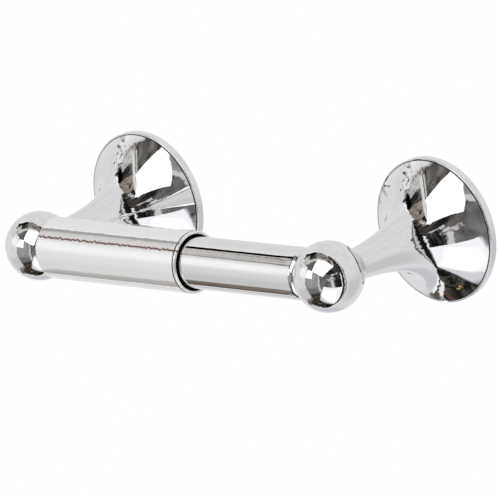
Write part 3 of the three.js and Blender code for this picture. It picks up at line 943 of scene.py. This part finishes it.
def streak_group():
    """Streaks in the sky, given how often they come per degree each way: 0 to 1."""
    group, given, result = shader_group("sky_streaks", [
        ("Azimuth", "NodeSocketFloat", 0), ("Elevation", "NodeSocketFloat", 0),
        ("Across", "NodeSocketFloat", 0.1), ("Down", "NodeSocketFloat", 0.1),
        ("Least", "NodeSocketFloat", 0.4), ("Most", "NodeSocketFloat", 0.6),
    ], [("Mask", "NodeSocketFloat")])
    across = node(group, "ShaderNodeMath", operation="MULTIPLY", inputs={
        0: given.outputs["Azimuth"], 1: given.outputs["Across"]})
    down = node(group, "ShaderNodeMath", operation="MULTIPLY", inputs={
        0: given.outputs["Elevation"], 1: given.outputs["Down"]})
    place = node(group, "ShaderNodeCombineXYZ", inputs={
        "X": across.outputs[0], "Y": down.outputs[0]})
    noise = node(group, "ShaderNodeTexNoise", inputs={
        "Vector": place.outputs[0], "Scale": 1, "Detail": 2, "Roughness": 0.5})
    share = node(group, "ShaderNodeMapRange", inputs={
        "Value": noise.outputs["Fac"], "From Min": given.outputs["Least"],
        "From Max": given.outputs["Most"]})
    group.links.new(share.outputs["Result"], result.inputs["Mask"])
    return group


world = bpy.data.worlds.new("studio")
bpy.context.scene.world = world
world.use_nodes = True
sky = world.node_tree
sky.nodes.clear()
direction = node(sky, "ShaderNodeTexCoord").outputs["Generated"]
parts = node(sky, "ShaderNodeSeparateXYZ", inputs={"Vector": direction}).outputs
south = node(sky, "ShaderNodeMath", operation="MULTIPLY", inputs={0: parts["Y"], 1: -1.0})
turn = node(sky, "ShaderNodeMath", operation="ARCTAN2", inputs={0: parts["X"], 1: south.outputs[0]})
lift = node(sky, "ShaderNodeMath", operation="ARCSINE", inputs={0: parts["Z"]})
waver = node(sky, "ShaderNodeTexNoise", inputs={"Vector": direction, "Scale": 9, "Detail": 3})
shift = node(sky, "ShaderNodeMapRange", inputs={
    "Value": waver.outputs["Fac"], "To Min": -WAVER, "To Max": WAVER}).outputs["Result"]
DEGREE = 180 / math.pi
turn_degrees = node(sky, "ShaderNodeMath", operation="MULTIPLY", inputs={
    0: turn.outputs[0], 1: DEGREE}).outputs[0]
azimuth = node(sky, "ShaderNodeMath", operation="ADD", inputs={0: turn_degrees, 1: shift}).outputs[0]
elevation = node(sky, "ShaderNodeMath", operation="MULTIPLY_ADD", inputs={
    0: lift.outputs[0], 1: DEGREE, 2: shift}).outputs[0]
panel = panel_group()
zone = zone_group()
streak = streak_group()


def over(below, mask, colour):
    """Paints a colour over what is below, where the mask is 1."""
    return node(sky, "ShaderNodeMix", data_type="RGBA", inputs={
        "Factor": mask, "A": below, "B": colour}).outputs["Result"]


def grey(value, warm=0.0):
    """A light of this strength, a little redder and less blue if warm."""
    return (value * (1 + warm), value, value * (1 - warm), 1)


def streaks(across, down, least, most, dark, bright):
    """A colour that runs from dark to bright in streaks."""
    mask = node(sky, "ShaderNodeGroup", node_tree=streak, inputs={
        "Azimuth": azimuth, "Elevation": elevation, "Across": across, "Down": down,
        "Least": least, "Most": most}).outputs["Mask"]
    return over(dark, mask, bright)


def zone_mask(west, east, bottom, top, edge):
    return node(sky, "ShaderNodeGroup", node_tree=zone, inputs={
        "Azimuth": azimuth, "Elevation": elevation, "West": west, "East": east,
        "Bottom": bottom, "Top": top, "Edge": edge}).outputs["Mask"]


def panel_point(azimuth_angle, elevation_angle):
    az, el = math.radians(azimuth_angle), math.radians(elevation_angle)
    return Vector((math.sin(az) * math.cos(el), -math.cos(az) * math.cos(el), math.sin(el)))


def panel_mask(corners, softness):
    """The mask of a panel with these (azimuth, elevation) corners, in degrees."""
    points = [panel_point(*corner) for corner in corners]
    middle = sum(points, Vector((0, 0, 0)))
    inputs = {"Direction": direction, "Softness": softness}
    for i, point in enumerate(points):
        side = point.cross(points[(i + 1) % PANEL_SIDES]).normalized()
        inputs[f"Side {i + 1}"] = side if side.dot(middle) > 0 else -side
    return node(sky, "ShaderNodeGroup", node_tree=panel, inputs=inputs).outputs["Mask"]


TENT = streaks(0.03, 0.035, 0.3, 0.7, (0.69, 0.69, 0.705, 1), (0.80, 0.80, 0.795, 1))
light = TENT
ROOM = [
    # west, east, bottom, top, edge, colour
    (-150, -98, -76, -34, 24, (0.59, 0.59, 0.63, 1)),
    (105, 165, -62, -8, 30, grey(0.60)),
    (-96, 98, -88, 80, 2, streaks(0.03, 0.25, 0.45, 0.7, grey(0.012, 0.1), grey(0.11, 0.12))),
    (-93, 72, 66, 90, 4, streaks(0.02, 0.3, 0.35, 0.65, grey(0.12, 0.2), grey(0.34, 0.12))),
    (2, 42, 75.5, 78.5, 2, grey(0.01)),
    (-60, -12, 33, 63, 3, streaks(0.16, 0.1, 0.35, 0.65, grey(0.04, 0.12), grey(0.20, 0.08))),
    (-38, 15, -31, 31, 3, streaks(0.16, 0.01, 0.35, 0.65, grey(0.24, 0.04), grey(0.42, 0.02))),
    (-38, 12, -33, -18, 14, grey(0.16, 0.05)),
    (8, 13, -29, 31, 1.5, grey(0.62)),
    (14, 50, -20, 20, 2, streaks(0.06, 0.06, 0.3, 0.7, grey(0.07, 0.05), grey(0.20, 0.03))),
    (49, 58, -25, 13, 2, grey(0.62)),
    (52, 76, 15, 21, 2, grey(0.55)),
    (61, 84, -26, 18, 1.5, streaks(0.5, 0.02, 0.45, 0.7, grey(0.004), grey(0.10))),
    (83, 86, -27, 18, 1, grey(0.85)),
    (86, 93, -78, 60, 1.5, grey(0.008)),
    (93, 97, -80, 70, 1.5, grey(0.55)),
    (97, 99, -80, 74, 1, grey(0.08)),
    (34, 66, 2, 9, 3, streaks(0.12, 0.3, 0.4, 0.6, grey(0.1), (0.70, 0.64, 0.66, 1))),
    (66, 76, 46, 66, 3, streaks(0.3, 0.3, 0.4, 0.6, grey(0.02), grey(0.8))),
    (-82, -52, 34, 49, 3, streaks(0.12, 0.6, 0.34, 0.5, grey(0.16, 0.1), grey(0.60, 0.03))),
    (-180, -38, -41, 33, 2.5, TENT),
    (-90, -38, -44, -20, 16, grey(0.60)),
    (-66, -38, 6, 27, 13, grey(1.0)),
    (-92, -66, 19, 34, 5, streaks(0.25, 0.3, 0.38, 0.48, grey(0.05), grey(0.82))),
    (-93.5, -82, 38, 62, 1.5, grey(0.0)),
    (-93, -64, -48, -41, 2, streaks(0.05, 0.3, 0.4, 0.6, (0.12, 0.09, 0.07, 1), grey(0.21, 0.12))),
    (-99, -95, -72, -44, 1, grey(0.95)),
    (-99, -95, 38, 74, 1, grey(0.95)),
    (-88, -44, -54.5, -52.5, 1.5, (0.13, 0.05, 0.04, 1)),
    (-54, -36, -63.4, -62.2, 1, (0.40, 0.29, 0.12, 1)),
    (-92, -84, -66, -49, 2, grey(0.9)),
    (-100, -26, -90, -76, 2, grey(0.008)),
    (45, 93, -90, -78, 2, grey(0.008)),
]
for west, east, bottom, top, edge, colour in ROOM:
    light = over(light, zone_mask(west, east, bottom, top, edge), colour)

# Rings of the tent's hoop overhead, seen as arcs round one direction, high up only.
RING_CENTRE = (5, 10)
RING_LOWEST = 0.62
ring_heart = panel_point(*RING_CENTRE)
across_ring = node(sky, "ShaderNodeVectorMath", operation="DOT_PRODUCT", inputs={
    0: direction, 1: ring_heart}).outputs["Value"]
ring_angle = node(sky, "ShaderNodeMath", operation="ARCCOSINE", inputs={0: across_ring})
ring_angle = node(sky, "ShaderNodeMath", operation="MULTIPLY", inputs={
    0: ring_angle.outputs[0], 1: DEGREE}).outputs[0]
for near, far, colour in ((55, 57, grey(0.6)), (57, 58, grey(0.02)), (58, 62.5, grey(0.72))):
    mask = node(sky, "ShaderNodeGroup", node_tree=zone, inputs={
        "Azimuth": turn_degrees, "Elevation": ring_angle, "West": -62, "East": 80,
        "Bottom": near, "Top": far, "Edge": 0.8}).outputs["Mask"]
    high = node(sky, "ShaderNodeMath", operation="GREATER_THAN", inputs={
        0: parts["Z"], 1: RING_LOWEST})
    mask = node(sky, "ShaderNodeMath", operation="MULTIPLY", inputs={0: mask, 1: high.outputs[0]})
    light = over(light, mask.outputs[0], colour)

PANELS = [
    # corners, softness, colour
    ([(-38, 8), (-12, 9), (-14, 30), (-34, 29)], 0.01, grey(1.5)),
    ([(25, 16), (71, 44), (-22, 65), (-16, 30)], 0.008, grey(1.35, -0.01)),
    ([(22, -15), (85, -24), (60, -84), (-14, -56)], 0.03, (0.70, 0.70, 0.74, 1)),
    ([(25, -15), (84, -24), (70, -82), (4, -40)], 0.012, (1.0, 1.0, 1.02, 1)),
    ([(22, -30), (60, -32), (50, -74), (10, -50)], 0.12, grey(1.6)),
]
for corners, softness, colour in PANELS:
    light = over(light, panel_mask(corners, softness), colour)

WHITE = (1, 1, 1, 1)
path = node(sky, "ShaderNodeLightPath").outputs
light = over(light, path["Is Diffuse Ray"], grey(0.85))
light = over(light, path["Is Camera Ray"], WHITE)
background = node(sky, "ShaderNodeBackground", inputs={"Color": light, "Strength": 1.0})
output = node(sky, "ShaderNodeOutputWorld")
sky.links.new(background.outputs[0], output.inputs["Surface"])


# Floor: a wide pale floor far below the holder, which hangs at its usual height. Light comes
# through it from underneath, so it never shades the piece.

FLOOR_DROP = 0.66
FLOOR_SIZE = 12

bpy.ops.object.select_all(action="DESELECT")
bpy.ops.mesh.primitive_plane_add(size=FLOOR_SIZE, location=(0, 0, -FLOOR_DROP))
floor = bpy.context.object
floor.name = "floor"
bpy.ops.object.transform_apply(location=True, rotation=True, scale=True)
pale = bpy.data.materials.new("pale_floor")
pale.use_nodes = True
paint = pale.node_tree
paint.nodes.clear()
lit = node(paint, "ShaderNodeEmission", inputs={"Color": WHITE, "Strength": 1.0})
clear = node(paint, "ShaderNodeBsdfTransparent")
below = node(paint, "ShaderNodeNewGeometry").outputs["Backfacing"]
sheet = node(paint, "ShaderNodeMixShader", inputs={0: below})
paint.links.new(lit.outputs[0], sheet.inputs[1])
paint.links.new(clear.outputs[0], sheet.inputs[2])
surface = node(paint, "ShaderNodeOutputMaterial")
paint.links.new(sheet.outputs[0], surface.inputs["Surface"])
floor.data.materials.append(pale)
floor.visible_glossy = False
floor.visible_diffuse = False
floor.visible_shadow = False


# Camera: a long lens from the right front and a little above, rolled slightly.

AZIMUTH = 0.789
ELEVATION = 0.263
ROLL = -0.152
DISTANCE = 2.397
LENS = 449.7
AIM = Vector((3.93 * MM, -5.42 * MM, 0))

back = Vector((math.sin(AZIMUTH) * math.cos(ELEVATION), -math.cos(AZIMUTH) * math.cos(ELEVATION),
               math.sin(ELEVATION)))
right = Vector((math.cos(AZIMUTH), math.sin(AZIMUTH), 0))
up = back.cross(right)
camera_right = right * math.cos(ROLL) + up * math.sin(ROLL)
camera_up = up * math.cos(ROLL) - right * math.sin(ROLL)
target = Vector((0, -30 * MM, 0)) + camera_right * AIM.x + camera_up * AIM.y
camera_data = bpy.data.cameras.new("camera")
camera_data.lens = LENS
camera_data.clip_end = 100
camera = bpy.data.objects.new("camera", camera_data)
bpy.context.scene.collection.objects.link(camera)
turn = Matrix((camera_right, camera_up, back)).transposed().to_4x4()
camera.matrix_world = Matrix.Translation(target + back * DISTANCE) @ turn
bpy.context.scene.camera = camera
bpy.context.scene.view_settings.view_transform = "Standard"
